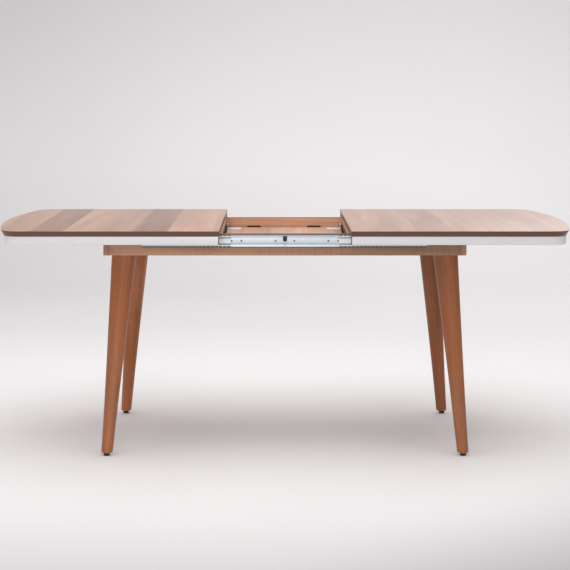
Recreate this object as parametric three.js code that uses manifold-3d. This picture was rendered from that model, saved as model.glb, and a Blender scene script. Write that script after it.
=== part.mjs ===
// Extendable dining table on ball-bearing slides, drawn with its two top halves pulled apart.
//
// Millimetres. +X runs along the table, +Y away from the viewer, +Z up.
// The origin is on the floor under the middle of the table.
//
// A rigid base (rails, cross rails, corner blocks and four splayed legs) carries two telescopic slides
// on each long side. Each top half hangs on the inner members of one front and one back slide. A leaf
// of two hinged panels lies folded in the well between the cross rails.

import * as THREE from 'three';
import { mergeVertices } from 'three/addons/utils/BufferGeometryUtils.js';
import Module from 'manifold-3d';

const wasm = await Module();
wasm.setup();

// ---------------------------------------------------------------- driving dimensions

const GAP = 0.3; // left between pieces that touch on the real table

// top
const TABLE_HEIGHT = 750;
const TOP_DEPTH = 800;
const TOP_THICKNESS = 18;
const HALF_LENGTH = 746; // inner edge to the middle of the bowed end
const END_BOW = 55; // how far the middle of the end stands proud of its corners
const CORNER_RADIUS = 60;
const TOP_LAND = 2; // upright band above the undercut edge
const EDGE_UNDERCUT = 9;
const OPEN_GAP = 424; // between the halves when they are pulled right out

// skirt under the top
const SKIRT_INSET = EDGE_UNDERCUT + 0.5;
const SKIRT_THICKNESS = 12;
const SKIRT_HEIGHT = 27;

// base frame
const BASE_LENGTH = 1188;
const BASE_DEPTH = 580;
const RAIL_THICKNESS = 18;
const RAIL_BOTTOM = 659;
const RAIL_TOP = 730;
const CROSS_RAIL_FACE = 211; // from the middle to the face that looks at the leaf
const CROSS_RAIL_TOP = 729;
const SLOT_LENGTH = 51;
const SLOT_HEIGHT = 8;
const SLOT_DEPTH = 12;
const SLOT_X = 110;
const SLOT_Z = 697;
const BLOCK_SIDE = 92;
const BLOCK_HEIGHT = 40;
const BLOCK_CHAMFER = 38;

// legs
const LEG_TOP_X = 530;
const LEG_TOP_Y = 248;
const LEG_FOOT_X = 586;
const LEG_FOOT_Y = 299;
const LEG_FOOT_Z = 9;
const LEG_TOP_DIAMETER = 81.5;
const LEG_FOOT_DIAMETER = 37.5;
const LEG_TAPER_POWER = 1.2; // 1 is a straight taper, more is slimmer at half height
const FOOT_ROUNDING = 6;
const BOLT_DIAMETER = 8;
const BOLT_GRIP = 44; // how far the bolt reaches down into the leg
const GLIDE_DIAMETER = 20;

// telescopic slides: u is the distance out from the rail's face, v the height from the slide's middle
const SLIDE_Z = 707.5;
const SHEET = 1.2; // steel thickness
const OUTER_HALF_HEIGHT = 21;
const MIDDLE_HALF_HEIGHT = 14.5;
const INNER_HALF_HEIGHT = 10;
const SLIDE_WIDTH = 12.7;
const OUTER_SPAN = [2, 466]; // from the middle of the table, along X
const MIDDLE_SPAN = [176.5, 606.5];
const INNER_SPAN = [218.4, 668.4];
const CAGE_SPAN = [179, 464];
const SCREW_HOLES = [31, 142, 174, 302, 430];
const SCREW_HOLE_DIAMETER = 5;

// battens that hang a top half on its slides
const BATTEN_THICKNESS = 18;
const BATTEN_LENGTH = 500;
const BATTEN_BOTTOM = 697.5;
const END_BATTEN_X = 812;
const END_BATTEN_WIDTH = 45;
const END_BATTEN_LENGTH = 600;

// folded leaf and what holds it
const LEAF_SPAN = 409; // along X
const LEAF_PANEL_DEPTH = 400;
const LEAF_BACK_Y = 262;
const LEAF_BOTTOM = RAIL_BOTTOM + GAP;
const SLAT_THICKNESS = 12;
const SLAT_WIDTH = 60;
const SLAT_Y = [-90, 190];
const HINGE_LENGTH = 60;
const HINGE_X = 120;
const HINGE_REACH = 26;
const HINGE_PLATE = 1.5;
const BRACKET_PLATE = 50;
const BRACKET_WIDTH = 26;
const BRACKET_HEIGHT = 19;
const BRACKET_Y = 206;
const BRACKET_STEEL = 2.5;
const PIN_DIAMETER = 8;
const PIN_HOLE = 8.8;

// worked out from the above
const TOP_BOTTOM = TABLE_HEIGHT - TOP_THICKNESS;
const UNDER_TOP = TOP_BOTTOM - GAP;
const RAIL_FACE = BASE_DEPTH / 2;
const RAIL_INSIDE = RAIL_FACE - RAIL_THICKNESS;
const END_RAIL_INSIDE = BASE_LENGTH / 2 - RAIL_THICKNESS;
const LEG_TOP_Z = RAIL_BOTTOM - GAP;
const BLOCK_TOP = RAIL_BOTTOM + BLOCK_HEIGHT;
const LEAF_UPPER_BOTTOM = LEAF_BOTTOM + TOP_THICKNESS + GAP;
const LEAF_TOP = LEAF_UPPER_BOTTOM + TOP_THICKNESS;
const LEAF_FRONT_Y = LEAF_BACK_Y - LEAF_PANEL_DEPTH;
const PIN_Z = LEAF_TOP + BRACKET_HEIGHT / 2 + 1;

// ---------------------------------------------------------------- materials

function finish( color, roughness, metalness = 0 ) {

	return new THREE.MeshStandardMaterial( { color, roughness, metalness } );

}

const laminate = finish( 0xb8a094, 0.45 );
const skirtPaint = finish( 0xd6d6d4, 0.4 );
const railWood = finish( 0x98705a, 0.5 );
const legWood = finish( 0x96603f, 0.45 );
const plainWood = finish( 0xb98c6c, 0.6 );
const zinc = finish( 0xd8dde0, 0.3, 0.9 );
const darkPlastic = finish( 0x1d1d1e, 0.5 );

// ---------------------------------------------------------------- making and cutting shapes

function toSolid( geometry ) {

	const bare = geometry.clone();
	bare.deleteAttribute( 'normal' );
	bare.deleteAttribute( 'uv' );
	const merged = mergeVertices( bare, 1e-4 );
	const vertProperties = new Float32Array( merged.attributes.position.array );
	const triVerts = new Uint32Array( merged.index.array );
	return new wasm.Manifold( new wasm.Mesh( { numProp: 3, vertProperties, triVerts } ) );

}

function toGeometry( solid ) {

	const { vertProperties, triVerts } = solid.getMesh();
	const geometry = new THREE.BufferGeometry();
	geometry.setAttribute( 'position', new THREE.BufferAttribute( vertProperties, 3 ) );
	geometry.setIndex( new THREE.BufferAttribute( triVerts, 1 ) );
	geometry.computeVertexNormals();
	return geometry;

}

function cut( geometry, ...tools ) {

	let solid = toSolid( geometry );
	for ( const tool of tools ) solid = solid.subtract( toSolid( tool ) );
	return toGeometry( solid );

}

function join( first, ...others ) {

	let solid = toSolid( first );
	for ( const other of others ) solid = solid.add( toSolid( other ) );
	return toGeometry( solid );

}

// A box given by its lowest and highest corners.
function block( low, high ) {

	const size = high.map( ( value, axis ) => value - low[ axis ] );
	const middle = high.map( ( value, axis ) => ( value + low[ axis ] ) / 2 );
	return new THREE.BoxGeometry( ...size ).translate( ...middle );

}

// A board between two corners, with a small chamfer on all its edges.
function board( low, high, chamfer = 0.8 ) {

	const [ x0, y0, z0 ] = low;
	const [ x1, y1, z1 ] = high;
	const c = chamfer;
	const outline = new THREE.Shape();
	outline.moveTo( x0 + 2 * c, y0 + c );
	outline.lineTo( x1 - 2 * c, y0 + c );
	outline.lineTo( x1 - c, y0 + 2 * c );
	outline.lineTo( x1 - c, y1 - 2 * c );
	outline.lineTo( x1 - 2 * c, y1 - c );
	outline.lineTo( x0 + 2 * c, y1 - c );
	outline.lineTo( x0 + c, y1 - 2 * c );
	outline.lineTo( x0 + c, y0 + 2 * c );
	outline.closePath();
	const depth = z1 - z0 - 2 * c;
	const bevel = { bevelEnabled: true, bevelThickness: c, bevelSize: c, bevelSegments: 1 };
	return new THREE.ExtrudeGeometry( outline, { depth, ...bevel } ).translate( 0, 0, z0 + c );

}

// A round bar along one axis ('x', 'y' or 'z') between two places on it.
function bar( axis, diameter, from, to, across, segments = 16 ) {

	const geometry = new THREE.CylinderGeometry( diameter / 2, diameter / 2, to - from, segments );
	const middle = ( from + to ) / 2;
	if ( axis === 'x' ) return geometry.rotateZ( Math.PI / 2 ).translate( middle, ...across );
	if ( axis === 'y' ) return geometry.translate( across[ 0 ], middle, across[ 1 ] );
	return geometry.rotateX( Math.PI / 2 ).translate( ...across, middle );

}

// ---------------------------------------------------------------- the object

const table = new THREE.Group();
table.name = 'extendable_dining_table';

function add( name, geometry, material ) {

	const mesh = new THREE.Mesh( geometry, material );
	mesh.name = name;
	table.add( mesh );
	return mesh;

}

const ENDS = [ [ 'left', -1 ], [ 'right', 1 ] ];
const SIDES = [ [ 'front', -1 ], [ 'back', 1 ] ];
const CORNERS = SIDES.flatMap( ( [ side, sy ] ) =>
	ENDS.map( ( [ end, sx ] ) => ( { name: `${ side }_${ end }`, sx, sy } ) ) );

// Lowest and highest of two signed places, whatever the sign.
function span( sign, near, far ) {

	return sign > 0 ? [ near, far ] : [ -far, -near ];

}

// ---- top halves

// Plan of a right-hand half, inset from its rim, with the inner edge at x = innerX: two long sides,
// rounded corners and an end that is one shallow arc.
function halfPlan( inset, innerX ) {

	const halfDepth = TOP_DEPTH / 2;
	const endRadius = ( halfDepth ** 2 + END_BOW ** 2 ) / ( 2 * END_BOW );
	const endCentre = OPEN_GAP / 2 + HALF_LENGTH - endRadius;
	const cornerY = halfDepth - CORNER_RADIUS;
	const cornerX = endCentre + Math.sqrt( ( endRadius - CORNER_RADIUS ) ** 2 - cornerY ** 2 );
	const meet = Math.atan2( cornerY, cornerX - endCentre );
	const radius = CORNER_RADIUS - inset;
	const plan = new THREE.Shape();
	plan.moveTo( innerX, -halfDepth + inset );
	plan.lineTo( cornerX, -halfDepth + inset );
	plan.absarc( cornerX, -cornerY, radius, -Math.PI / 2, -meet );
	plan.absarc( endCentre, 0, endRadius - inset, -meet, meet );
	plan.absarc( cornerX, cornerY, radius, meet, Math.PI / 2 );
	plan.lineTo( innerX, halfDepth - inset );
	return plan;

}

const PLAN_SEGMENTS = 10;
const INNER_EDGE = OPEN_GAP / 2;
const PAST_EDGE = 40; // the blanks run this far past the inner edge before they are trimmed

// The top panel is a slab whose rim has a narrow upright band and is undercut below it.
function topPanel() {

	const drop = TOP_THICKNESS - TOP_LAND;
	const slab = new THREE.ExtrudeGeometry( halfPlan( EDGE_UNDERCUT, INNER_EDGE - PAST_EDGE ), {
		depth: TOP_LAND,
		curveSegments: PLAN_SEGMENTS,
		bevelEnabled: true,
		bevelThickness: drop,
		bevelSize: EDGE_UNDERCUT,
		bevelSegments: 1,
	} ).translate( 0, 0, TABLE_HEIGHT - TOP_LAND );
	const above = block( [ 0, -TOP_DEPTH, TABLE_HEIGHT ], [ 2000, TOP_DEPTH, TABLE_HEIGHT + 100 ] );
	const inward = block( [ 0, -TOP_DEPTH, 0 ], [ INNER_EDGE, TOP_DEPTH, TABLE_HEIGHT + 100 ] );
	return cut( slab, above, inward );

}

// The skirt is a thin upright band that follows the rim on three sides.
function skirtBand() {

	const outer = halfPlan( SKIRT_INSET, INNER_EDGE ).getPoints( PLAN_SEGMENTS );
	const inner = halfPlan( SKIRT_INSET + SKIRT_THICKNESS, INNER_EDGE ).getPoints( PLAN_SEGMENTS );
	const band = new THREE.Shape( [ ...outer, ...inner.reverse() ] );
	const shape = new THREE.ExtrudeGeometry( band, { depth: SKIRT_HEIGHT, bevelEnabled: false } );
	return shape.translate( 0, 0, UNDER_TOP - SKIRT_HEIGHT );

}

for ( const [ end, sx ] of ENDS ) {

	const turn = sx > 0 ? 0 : Math.PI;
	add( `${ end }_top_panel`, topPanel().rotateZ( turn ), laminate );
	add( `${ end }_skirt`, skirtBand().rotateZ( turn ), skirtPaint );
	const [ x0, x1 ] = span( sx, END_BATTEN_X, END_BATTEN_X + END_BATTEN_WIDTH );
	const reach = END_BATTEN_LENGTH / 2;
	const low = [ x0, -reach, UNDER_TOP - BATTEN_THICKNESS ];
	add( `${ end }_end_batten`, board( low, [ x1, reach, UNDER_TOP ] ), plainWood );

}

// ---- base frame

for ( const [ side, sy ] of SIDES ) {

	const [ y0, y1 ] = span( sy, RAIL_INSIDE, RAIL_FACE );
	const reach = END_RAIL_INSIDE - GAP;
	const rail = board( [ -reach, y0, RAIL_BOTTOM ], [ reach, y1, RAIL_TOP ] );
	const [ s0, s1 ] = span( sy, RAIL_INSIDE - 5, RAIL_INSIDE + SLOT_DEPTH );
	const slots = ENDS.map( ( [ , sx ] ) => roundedSlot( sx * SLOT_X, s0, s1 ) );
	add( `${ side }_side_rail`, cut( rail, ...slots ), railWood );

}

// An oblong with round ends, standing across Y between y0 and y1.
function roundedSlot( x, y0, y1 ) {

	const r = SLOT_HEIGHT / 2;
	const half = SLOT_LENGTH / 2 - r;
	const oblong = new THREE.Shape();
	oblong.absarc( half, 0, r, -Math.PI / 2, Math.PI / 2 );
	oblong.absarc( -half, 0, r, Math.PI / 2, Math.PI * 3 / 2 );
	const solid = new THREE.ExtrudeGeometry( oblong, { depth: y1 - y0, curveSegments: 5, bevelEnabled: false } );
	return solid.rotateX( Math.PI / 2 ).translate( x, y1, SLOT_Z );

}

for ( const [ end, sx ] of ENDS ) {

	const [ x0, x1 ] = span( sx, END_RAIL_INSIDE, BASE_LENGTH / 2 );
	const high = [ x1, RAIL_FACE, RAIL_TOP ];
	add( `${ end }_end_rail`, board( [ x0, -RAIL_FACE, RAIL_BOTTOM ], high ), railWood );

	const [ c0, c1 ] = span( sx, CROSS_RAIL_FACE, CROSS_RAIL_FACE + RAIL_THICKNESS );
	const reach = RAIL_INSIDE - GAP;
	const cross = board( [ c0, -reach, RAIL_BOTTOM ], [ c1, reach, CROSS_RAIL_TOP ] );
	const pinHole = bar( 'x', PIN_HOLE, c0 - 5, c1 + 5, [ BRACKET_Y, PIN_Z ] );
	add( `${ end }_cross_rail`, cut( cross, pinHole ), plainWood );

}

// ---- corner blocks, legs, bolts and glides

// The block fills a corner of the frame; its inner corner is cut off and a bolt hole runs up through it.
function cornerBlock( sx, sy ) {

	const x = END_RAIL_INSIDE - GAP;
	const y = RAIL_INSIDE - GAP;
	const plan = new THREE.Shape( [
		new THREE.Vector2( x, y ),
		new THREE.Vector2( x - BLOCK_SIDE, y ),
		new THREE.Vector2( x - BLOCK_SIDE, y - BLOCK_SIDE + BLOCK_CHAMFER ),
		new THREE.Vector2( x - BLOCK_SIDE + BLOCK_CHAMFER, y - BLOCK_SIDE ),
		new THREE.Vector2( x, y - BLOCK_SIDE ),
	].map( ( p ) => p.multiply( new THREE.Vector2( sx, sy ) ) ) );
	const solid = new THREE.ExtrudeGeometry( plan, { depth: BLOCK_HEIGHT, bevelEnabled: false } );
	const hole = bar( 'z', BOLT_DIAMETER + 2 * GAP, 0, TABLE_HEIGHT, [ sx * LEG_TOP_X, sy * LEG_TOP_Y ] );
	return cut( solid.translate( 0, 0, RAIL_BOTTOM ), hole );

}

// Radius of the leg at a height: a slightly hollow taper.
function legRadius( z ) {

	const t = ( z - LEG_FOOT_Z ) / ( LEG_TOP_Z - LEG_FOOT_Z );
	return ( LEG_FOOT_DIAMETER + ( LEG_TOP_DIAMETER - LEG_FOOT_DIAMETER ) * t ** LEG_TAPER_POWER ) / 2;

}

// The leg is turned round an upright axis, then sheared so that it leans out and both ends stay level.
function leg( sx, sy ) {

	const profile = [ new THREE.Vector2( 0, LEG_FOOT_Z ) ];
	const roundingSteps = 3;
	const footEdge = legRadius( LEG_FOOT_Z + FOOT_ROUNDING );
	for ( let i = 0; i <= roundingSteps; i ++ ) {

		const a = i / roundingSteps * Math.PI / 2;
		const r = footEdge - FOOT_ROUNDING * ( 1 - Math.sin( a ) );
		profile.push( new THREE.Vector2( r, LEG_FOOT_Z + FOOT_ROUNDING * ( 1 - Math.cos( a ) ) ) );

	}

	const rows = 9;
	const start = LEG_FOOT_Z + FOOT_ROUNDING;
	for ( let i = 1; i <= rows; i ++ ) {

		const z = start + ( LEG_TOP_Z - start ) * i / rows;
		profile.push( new THREE.Vector2( legRadius( z ), z ) );

	}

	profile.push( new THREE.Vector2( 0, LEG_TOP_Z ) );
	const turned = new THREE.LatheGeometry( profile, 28 ).rotateX( Math.PI / 2 );
	const leanX = sx * ( LEG_TOP_X - LEG_FOOT_X ) / LEG_TOP_Z;
	const leanY = sy * ( LEG_TOP_Y - LEG_FOOT_Y ) / LEG_TOP_Z;
	const shear = new THREE.Matrix4().set(
		1, 0, leanX, sx * LEG_FOOT_X,
		0, 1, leanY, sy * LEG_FOOT_Y,
		0, 0, 1, 0,
		0, 0, 0, 1,
	);
	const socketDepth = BOLT_GRIP + 2;
	const at = [ sx * LEG_TOP_X, sy * LEG_TOP_Y ];
	const diameter = BOLT_DIAMETER + 2 * GAP;
	const socket = bar( 'z', diameter, LEG_TOP_Z - socketDepth, LEG_TOP_Z + 10, at );
	return cut( turned.applyMatrix4( shear ), socket );

}

// A stud from the leg up through the block, with a washer and a hexagon nut on top.
function legBolt( sx, sy ) {

	const at = [ sx * LEG_TOP_X, sy * LEG_TOP_Y ];
	const seat = BLOCK_TOP + GAP;
	const washer = 1.6;
	const nut = 6.5;
	const stud = bar( 'z', BOLT_DIAMETER, LEG_TOP_Z - BOLT_GRIP, seat + washer + nut + 4, at );
	const ring = bar( 'z', 22, seat, seat + washer, at, 20 );
	const hexagon = bar( 'z', 15, seat + washer - 0.1, seat + washer + nut, at, 6 );
	return join( stud, ring, hexagon );

}

function footGlide( sx, sy ) {

	const r = GLIDE_DIAMETER / 2;
	const top = LEG_FOOT_Z - GAP;
	const profile = [ [ 0, 0 ], [ r - 2, 0 ], [ r - 0.6, 0.8 ], [ r, 2.4 ], [ r, top ], [ 0, top ] ];
	const turned = new THREE.LatheGeometry( profile.map( ( p ) => new THREE.Vector2( ...p ) ), 24 );
	return turned.rotateX( Math.PI / 2 ).translate( sx * LEG_FOOT_X, sy * LEG_FOOT_Y, 0 );

}

for ( const { name, sx, sy } of CORNERS ) {

	add( `${ name }_corner_block`, cornerBlock( sx, sy ), plainWood );
	add( `${ name }_leg`, leg( sx, sy ), legWood );
	add( `${ name }_leg_bolt`, legBolt( sx, sy ), zinc );
	add( `${ name }_foot_glide`, footGlide( sx, sy ), darkPlastic );

}

// ---- telescopic slides

// Half of a folded channel's section, above its middle, as [u, v] points; the other half mirrors it.
function channel( upperHalf ) {

	const lowerHalf = upperHalf.map( ( [ u, v ] ) => [ u, -v ] ).reverse();
	return new THREE.Shape( [ ...upperHalf, ...lowerHalf ].map( ( p ) => new THREE.Vector2( ...p ) ) );

}

const LIP = 1.5; // how far a lip turns back towards the middle of the slide
const OUTER_REACH = 10; // how far the outer and middle flanges stand out
const MIDDLE_WEB = 2.4; // u of the middle member's web
const INNER_FLANGE = 4.9; // u where the inner member's flanges end

const outerSection = channel( [
	[ SHEET, OUTER_HALF_HEIGHT - SHEET ],
	[ OUTER_REACH - SHEET, OUTER_HALF_HEIGHT - SHEET ],
	[ OUTER_REACH - SHEET, OUTER_HALF_HEIGHT - SHEET - LIP ],
	[ OUTER_REACH, OUTER_HALF_HEIGHT - SHEET - LIP ],
	[ OUTER_REACH, OUTER_HALF_HEIGHT - SHEET ],
	[ OUTER_REACH - SHEET, OUTER_HALF_HEIGHT ],
	[ 0.6, OUTER_HALF_HEIGHT ],
	[ 0, OUTER_HALF_HEIGHT - 0.6 ],
] );

const middleSection = channel( [
	[ MIDDLE_WEB + SHEET, MIDDLE_HALF_HEIGHT - SHEET ],
	[ OUTER_REACH - SHEET, MIDDLE_HALF_HEIGHT - SHEET ],
	[ OUTER_REACH - SHEET, MIDDLE_HALF_HEIGHT - SHEET - LIP ],
	[ OUTER_REACH, MIDDLE_HALF_HEIGHT - SHEET - LIP ],
	[ OUTER_REACH, MIDDLE_HALF_HEIGHT - SHEET ],
	[ OUTER_REACH - SHEET, MIDDLE_HALF_HEIGHT ],
	[ MIDDLE_WEB + 0.6, MIDDLE_HALF_HEIGHT ],
	[ MIDDLE_WEB, MIDDLE_HALF_HEIGHT - 0.6 ],
] );

const innerSection = channel( [
	[ SLIDE_WIDTH - SHEET, INNER_HALF_HEIGHT - SHEET ],
	[ INNER_FLANGE, INNER_HALF_HEIGHT - SHEET ],
	[ INNER_FLANGE, INNER_HALF_HEIGHT ],
	[ SLIDE_WIDTH - 0.6, INNER_HALF_HEIGHT ],
	[ SLIDE_WIDTH, INNER_HALF_HEIGHT - 0.6 ],
].reverse() );

const CAGE_BACK = 1.5;
const cageSection = channel( [
	[ CAGE_BACK + 0.6, MIDDLE_HALF_HEIGHT + 0.4 ],
	[ OUTER_REACH - SHEET - 0.4, MIDDLE_HALF_HEIGHT + 0.4 ],
	[ OUTER_REACH - SHEET - 0.4, OUTER_HALF_HEIGHT - SHEET - 0.4 ],
	[ CAGE_BACK, OUTER_HALF_HEIGHT - SHEET - 0.4 ],
] );

// Draws a section along X on the face of a side rail, from near to far of the table's middle.
function slideBar( section, [ near, far ], sx, sy ) {

	const [ x0, x1 ] = span( sx, near, far );
	const solid = new THREE.ExtrudeGeometry( section, { depth: far - near, bevelEnabled: false } );
	const outward = new THREE.Vector3( 0, sy, 0 );
	const up = new THREE.Vector3( 0, 0, 1 );
	const along = new THREE.Vector3().crossVectors( outward, up );
	const start = sy > 0 ? x0 : x1;
	const placed = new THREE.Matrix4().makeBasis( outward, up, along );
	placed.setPosition( start, sy * ( RAIL_FACE + GAP ), SLIDE_Z );
	return solid.applyMatrix4( placed );

}

for ( const { name, sx, sy } of CORNERS ) {

	const holes = SCREW_HOLES.map( ( x ) => {

		const [ y0, y1 ] = span( sy, RAIL_FACE - 2, RAIL_FACE + 4 );
		return bar( 'y', SCREW_HOLE_DIAMETER, y0, y1, [ sx * x, SLIDE_Z ], 10 );

	} );
	const outer = slideBar( outerSection, OUTER_SPAN, sx, sy );
	add( `${ name }_slide_outer`, cut( outer, ...holes ), zinc );
	add( `${ name }_slide_middle`, slideBar( middleSection, MIDDLE_SPAN, sx, sy ), zinc );
	add( `${ name }_slide_inner`, slideBar( innerSection, INNER_SPAN, sx, sy ), zinc );
	add( `${ name }_ball_cage`, slideBar( cageSection, CAGE_SPAN, sx, sy ), darkPlastic );

	const near = RAIL_FACE + GAP + SLIDE_WIDTH + GAP;
	const [ y0, y1 ] = span( sy, near, near + BATTEN_THICKNESS );
	const [ x0, x1 ] = span( sx, INNER_SPAN[ 0 ], INNER_SPAN[ 0 ] + BATTEN_LENGTH );
	const batten = board( [ x0, y0, BATTEN_BOTTOM ], [ x1, y1, UNDER_TOP ] );
	add( `${ name }_slide_batten`, batten, plainWood );

}

// A moulded buffer in front of the two outer members' meeting ends, on a stem that fills their seam.
for ( const [ side, sy ] of SIDES ) {

	const face = RAIL_FACE + GAP;
	const [ y0, y1 ] = span( sy, face + SHEET + GAP, face + 9 );
	const [ s0, s1 ] = span( sy, face, face + 5 );
	const buffer = board( [ -6.4, y0, SLIDE_Z - 0.5 ], [ 6.4, y1, SLIDE_Z + 15.5 ] );
	const stem = block( [ -1.6, s0, SLIDE_Z + 1 ], [ 1.6, s1, SLIDE_Z + 14 ] );
	add( `${ side }_slide_stop`, join( buffer, stem ), darkPlastic );

}

// ---- folded leaf

// A hinge folded shut: two plates face to face, joined by the knuckle at the fold.
const hingePlane = LEAF_UPPER_BOTTOM - GAP / 2;

function leafHinge( sx ) {

	const [ x0, x1 ] = span( sx, HINGE_X, HINGE_X + HINGE_LENGTH );
	const back = LEAF_FRONT_Y + HINGE_REACH;
	const low = [ x0, LEAF_FRONT_Y - 3, hingePlane - GAP / 2 - HINGE_PLATE ];
	const high = [ x1, back, hingePlane + GAP / 2 + HINGE_PLATE ];
	const splitLow = [ x0 - 1, LEAF_FRONT_Y + 1, hingePlane - GAP / 2 ];
	const splitHigh = [ x1 + 1, back + 1, hingePlane + GAP / 2 ];
	const plates = cut( block( low, high ), block( splitLow, splitHigh ) );
	return join( plates, bar( 'x', 6, x0, x1, [ LEAF_FRONT_Y - 3.4, hingePlane ] ) );

}

// The pocket that a folded hinge lies in, cut from both panels.
function hingePocket( sx ) {

	const [ x0, x1 ] = span( sx, HINGE_X - GAP, HINGE_X + HINGE_LENGTH + GAP );
	const deep = HINGE_PLATE + GAP / 2 + GAP;
	const back = LEAF_FRONT_Y + HINGE_REACH + GAP;
	return block( [ x0, LEAF_FRONT_Y - 5, hingePlane - deep ], [ x1, back, hingePlane + deep ] );

}

for ( const [ name, bottom ] of [ [ 'lower', LEAF_BOTTOM ], [ 'upper', LEAF_UPPER_BOTTOM ] ] ) {

	const low = [ -LEAF_SPAN / 2, LEAF_FRONT_Y, bottom ];
	const high = [ LEAF_SPAN / 2, LEAF_BACK_Y, bottom + TOP_THICKNESS ];
	const pockets = ENDS.map( ( [ , sx ] ) => hingePocket( sx ) );
	add( `leaf_${ name }_panel`, cut( board( low, high ), ...pockets ), laminate );

}

for ( const [ index, [ side ] ] of SIDES.entries() ) {

	const reach = CROSS_RAIL_FACE + RAIL_THICKNESS;
	const low = [ -reach, SLAT_Y[ index ] - SLAT_WIDTH / 2, RAIL_BOTTOM - GAP - SLAT_THICKNESS ];
	const high = [ reach, SLAT_Y[ index ] + SLAT_WIDTH / 2, RAIL_BOTTOM - GAP ];
	add( `${ side }_leaf_slat`, board( low, high ), plainWood );

}

// An angle bracket on the leaf's corner: a flat plate, and an upright flange bored for the pivot pin.
function pivotBracket( sx ) {

	const edge = LEAF_SPAN / 2 - 0.5;
	const bottom = LEAF_TOP + GAP;
	const y0 = BRACKET_Y - BRACKET_WIDTH / 2;
	const y1 = BRACKET_Y + BRACKET_WIDTH / 2;
	const [ x0, x1 ] = span( sx, edge - BRACKET_PLATE, edge );
	const [ f0, f1 ] = span( sx, edge - BRACKET_STEEL, edge );
	const plate = block( [ x0, y0, bottom ], [ x1, y1, bottom + BRACKET_STEEL ] );
	const flange = block( [ f0, y0, bottom ], [ f1, y1, LEAF_TOP + BRACKET_HEIGHT ] );
	return cut( join( plate, flange ), bar( 'x', PIN_HOLE, f0 - 5, f1 + 5, [ BRACKET_Y, PIN_Z ] ) );

}

// A headed pin through the flange into the cross rail.
function pivotPin( sx ) {

	const headFace = LEAF_SPAN / 2 - 0.5 - BRACKET_STEEL - GAP;
	const [ x0, x1 ] = span( sx, headFace - 0.1, CROSS_RAIL_FACE + RAIL_THICKNESS - 4 );
	const [ h0, h1 ] = span( sx, headFace - 3, headFace );
	const shank = bar( 'x', PIN_DIAMETER, x0, x1, [ BRACKET_Y, PIN_Z ] );
	return join( shank, bar( 'x', 13, h0, h1, [ BRACKET_Y, PIN_Z ], 20 ) );

}

for ( const [ end, sx ] of ENDS ) {

	add( `${ end }_leaf_hinge`, leafHinge( sx ), zinc );
	add( `${ end }_pivot_bracket`, pivotBracket( sx ), zinc );
	add( `${ end }_pivot_pin`, pivotPin( sx ), zinc );

}

export default table;
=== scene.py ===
"""Extendable dining table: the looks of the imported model, as a Blender add-on that is run as a script.

Everything is in metres, in the model's own frame: +X along the table, +Y to the back, +Z up.
"""

import math

import bpy
import numpy as np
from bpy.props import FloatProperty, FloatVectorProperty, IntProperty, PointerProperty
from bpy.types import Operator, Panel, PropertyGroup
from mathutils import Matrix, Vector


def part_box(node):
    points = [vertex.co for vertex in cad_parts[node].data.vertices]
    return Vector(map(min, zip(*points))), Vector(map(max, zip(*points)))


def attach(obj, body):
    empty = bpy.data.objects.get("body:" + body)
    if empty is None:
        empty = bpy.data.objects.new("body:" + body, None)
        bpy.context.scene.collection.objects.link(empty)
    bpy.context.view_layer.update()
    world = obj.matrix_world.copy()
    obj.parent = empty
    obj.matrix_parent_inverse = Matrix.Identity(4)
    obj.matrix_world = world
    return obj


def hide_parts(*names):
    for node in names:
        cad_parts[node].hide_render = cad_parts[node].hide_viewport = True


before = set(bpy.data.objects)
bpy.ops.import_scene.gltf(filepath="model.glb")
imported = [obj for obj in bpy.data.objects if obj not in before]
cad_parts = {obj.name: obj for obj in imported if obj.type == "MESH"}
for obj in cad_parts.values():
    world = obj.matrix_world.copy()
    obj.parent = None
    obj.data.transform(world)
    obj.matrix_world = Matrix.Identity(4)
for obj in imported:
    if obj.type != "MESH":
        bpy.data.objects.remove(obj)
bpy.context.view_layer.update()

bl_info = {
    "name": "Extendable Dining Table",
    "version": (1, 0, 0),
    "blender": (4, 5, 0),
    "location": "3D View > Sidebar > Table",
    "description": "Builds the finished pieces and materials of an extendable dining table",
    "category": "Object",
}

MM = 0.001
ENDS = (("left", -1), ("right", 1))
SIDES = (("front", -1), ("back", 1))
CORNERS = [(f"{side}_{end}", sx, sy) for side, sy in SIDES for end, sx in ENDS]
SHARP_ANGLE = math.radians(35)


def srgb(red, green, blue):
    """Linear colour of a screen colour given as 0 to 255."""
    screen = np.array([red, green, blue]) / 255
    return tuple(np.where(screen <= 0.04045, screen / 12.92, ((screen + 0.055) / 1.055) ** 2.4))


# ------------------------------------------------------------------ settings


def length(name, description, default):
    """A length setting, in metres."""
    return FloatProperty(
        name=name, description=description, default=default, unit="LENGTH", subtype="DISTANCE"
    )


def colour(name, description, default):
    """A colour setting."""
    return FloatVectorProperty(
        name=name, description=description, default=default, size=3, subtype="COLOR", min=0, max=1
    )


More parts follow.
